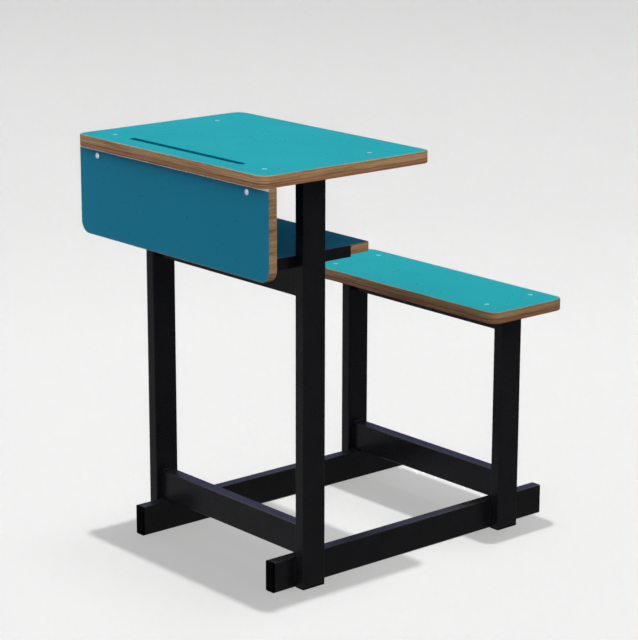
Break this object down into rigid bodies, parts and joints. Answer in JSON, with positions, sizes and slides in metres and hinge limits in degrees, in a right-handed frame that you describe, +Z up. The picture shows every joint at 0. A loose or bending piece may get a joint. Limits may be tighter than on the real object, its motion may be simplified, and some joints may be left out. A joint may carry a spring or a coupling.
{
  "type": "student desk with joined bench",
  "caption": "One-seat school desk joined to a narrow bench: laminated top with pencil groove, front panel and open book shelf on a welded black tube frame.",
  "frame": {"origin": "centre of the bounding box's base, on the floor midway between the sides and midway from the desk top's front edge to the runners' rear ends", "axes": "+Z up; -Y towards the front panel and +Y towards the bench, so a sitter faces -Y; +X towards the sitter's left"},
  "size_m": [0.54, 0.727, 0.75],
  "materials": {
    "laminate": "satin turquoise high-pressure laminate",
    "edging": "brown wood-grain edging, satin",
    "core": "pressed board, hidden under the laminate",
    "frame": "black powder coat, satin",
    "plug": "black moulded plastic",
    "screw": "bright zinc-plated steel"
  },
  "bodies": {
    "root": {"desk_top_board": "core", "desk_top_laminate": "laminate", "desk_top_backer": "laminate", "desk_top_edge": "edging", "bench_board": "core", "bench_laminate": "laminate", "bench_backer": "laminate", "bench_edge": "edging", "shelf_board": "core", "shelf_laminate": "laminate", "shelf_backer": "laminate", "shelf_edge": "edging", "front_panel_board": "core", "front_panel_laminate": "laminate", "front_panel_backer": "laminate", "front_panel_edge": "edging", "front_leg_left": "frame", "front_leg_right": "frame", "bench_leg_left": "frame", "bench_leg_right": "frame", "runner_left": "frame", "runner_right": "frame", "front_cross_rail": "frame", "rear_cross_rail": "frame", "shelf_cross_rail": "frame", "bench_cross_rail": "frame", "desk_side_bar_left": "frame", "desk_side_bar_right": "frame", "desk_tie_bar": "frame", "bench_side_bar_left": "frame", "bench_side_bar_right": "frame", "shelf_angle_left": "frame", "shelf_angle_right": "frame", "leg_foot_plugs": "plug", "runner_end_caps": "plug", "desk_top_screws": "screw", "desk_top_nuts": "screw", "bench_screws": "screw", "bench_nuts": "screw", "shelf_screws": "screw", "panel_bolts": "screw", "panel_washers": "screw", "panel_nuts": "screw"}
  },
  "joints": []
}
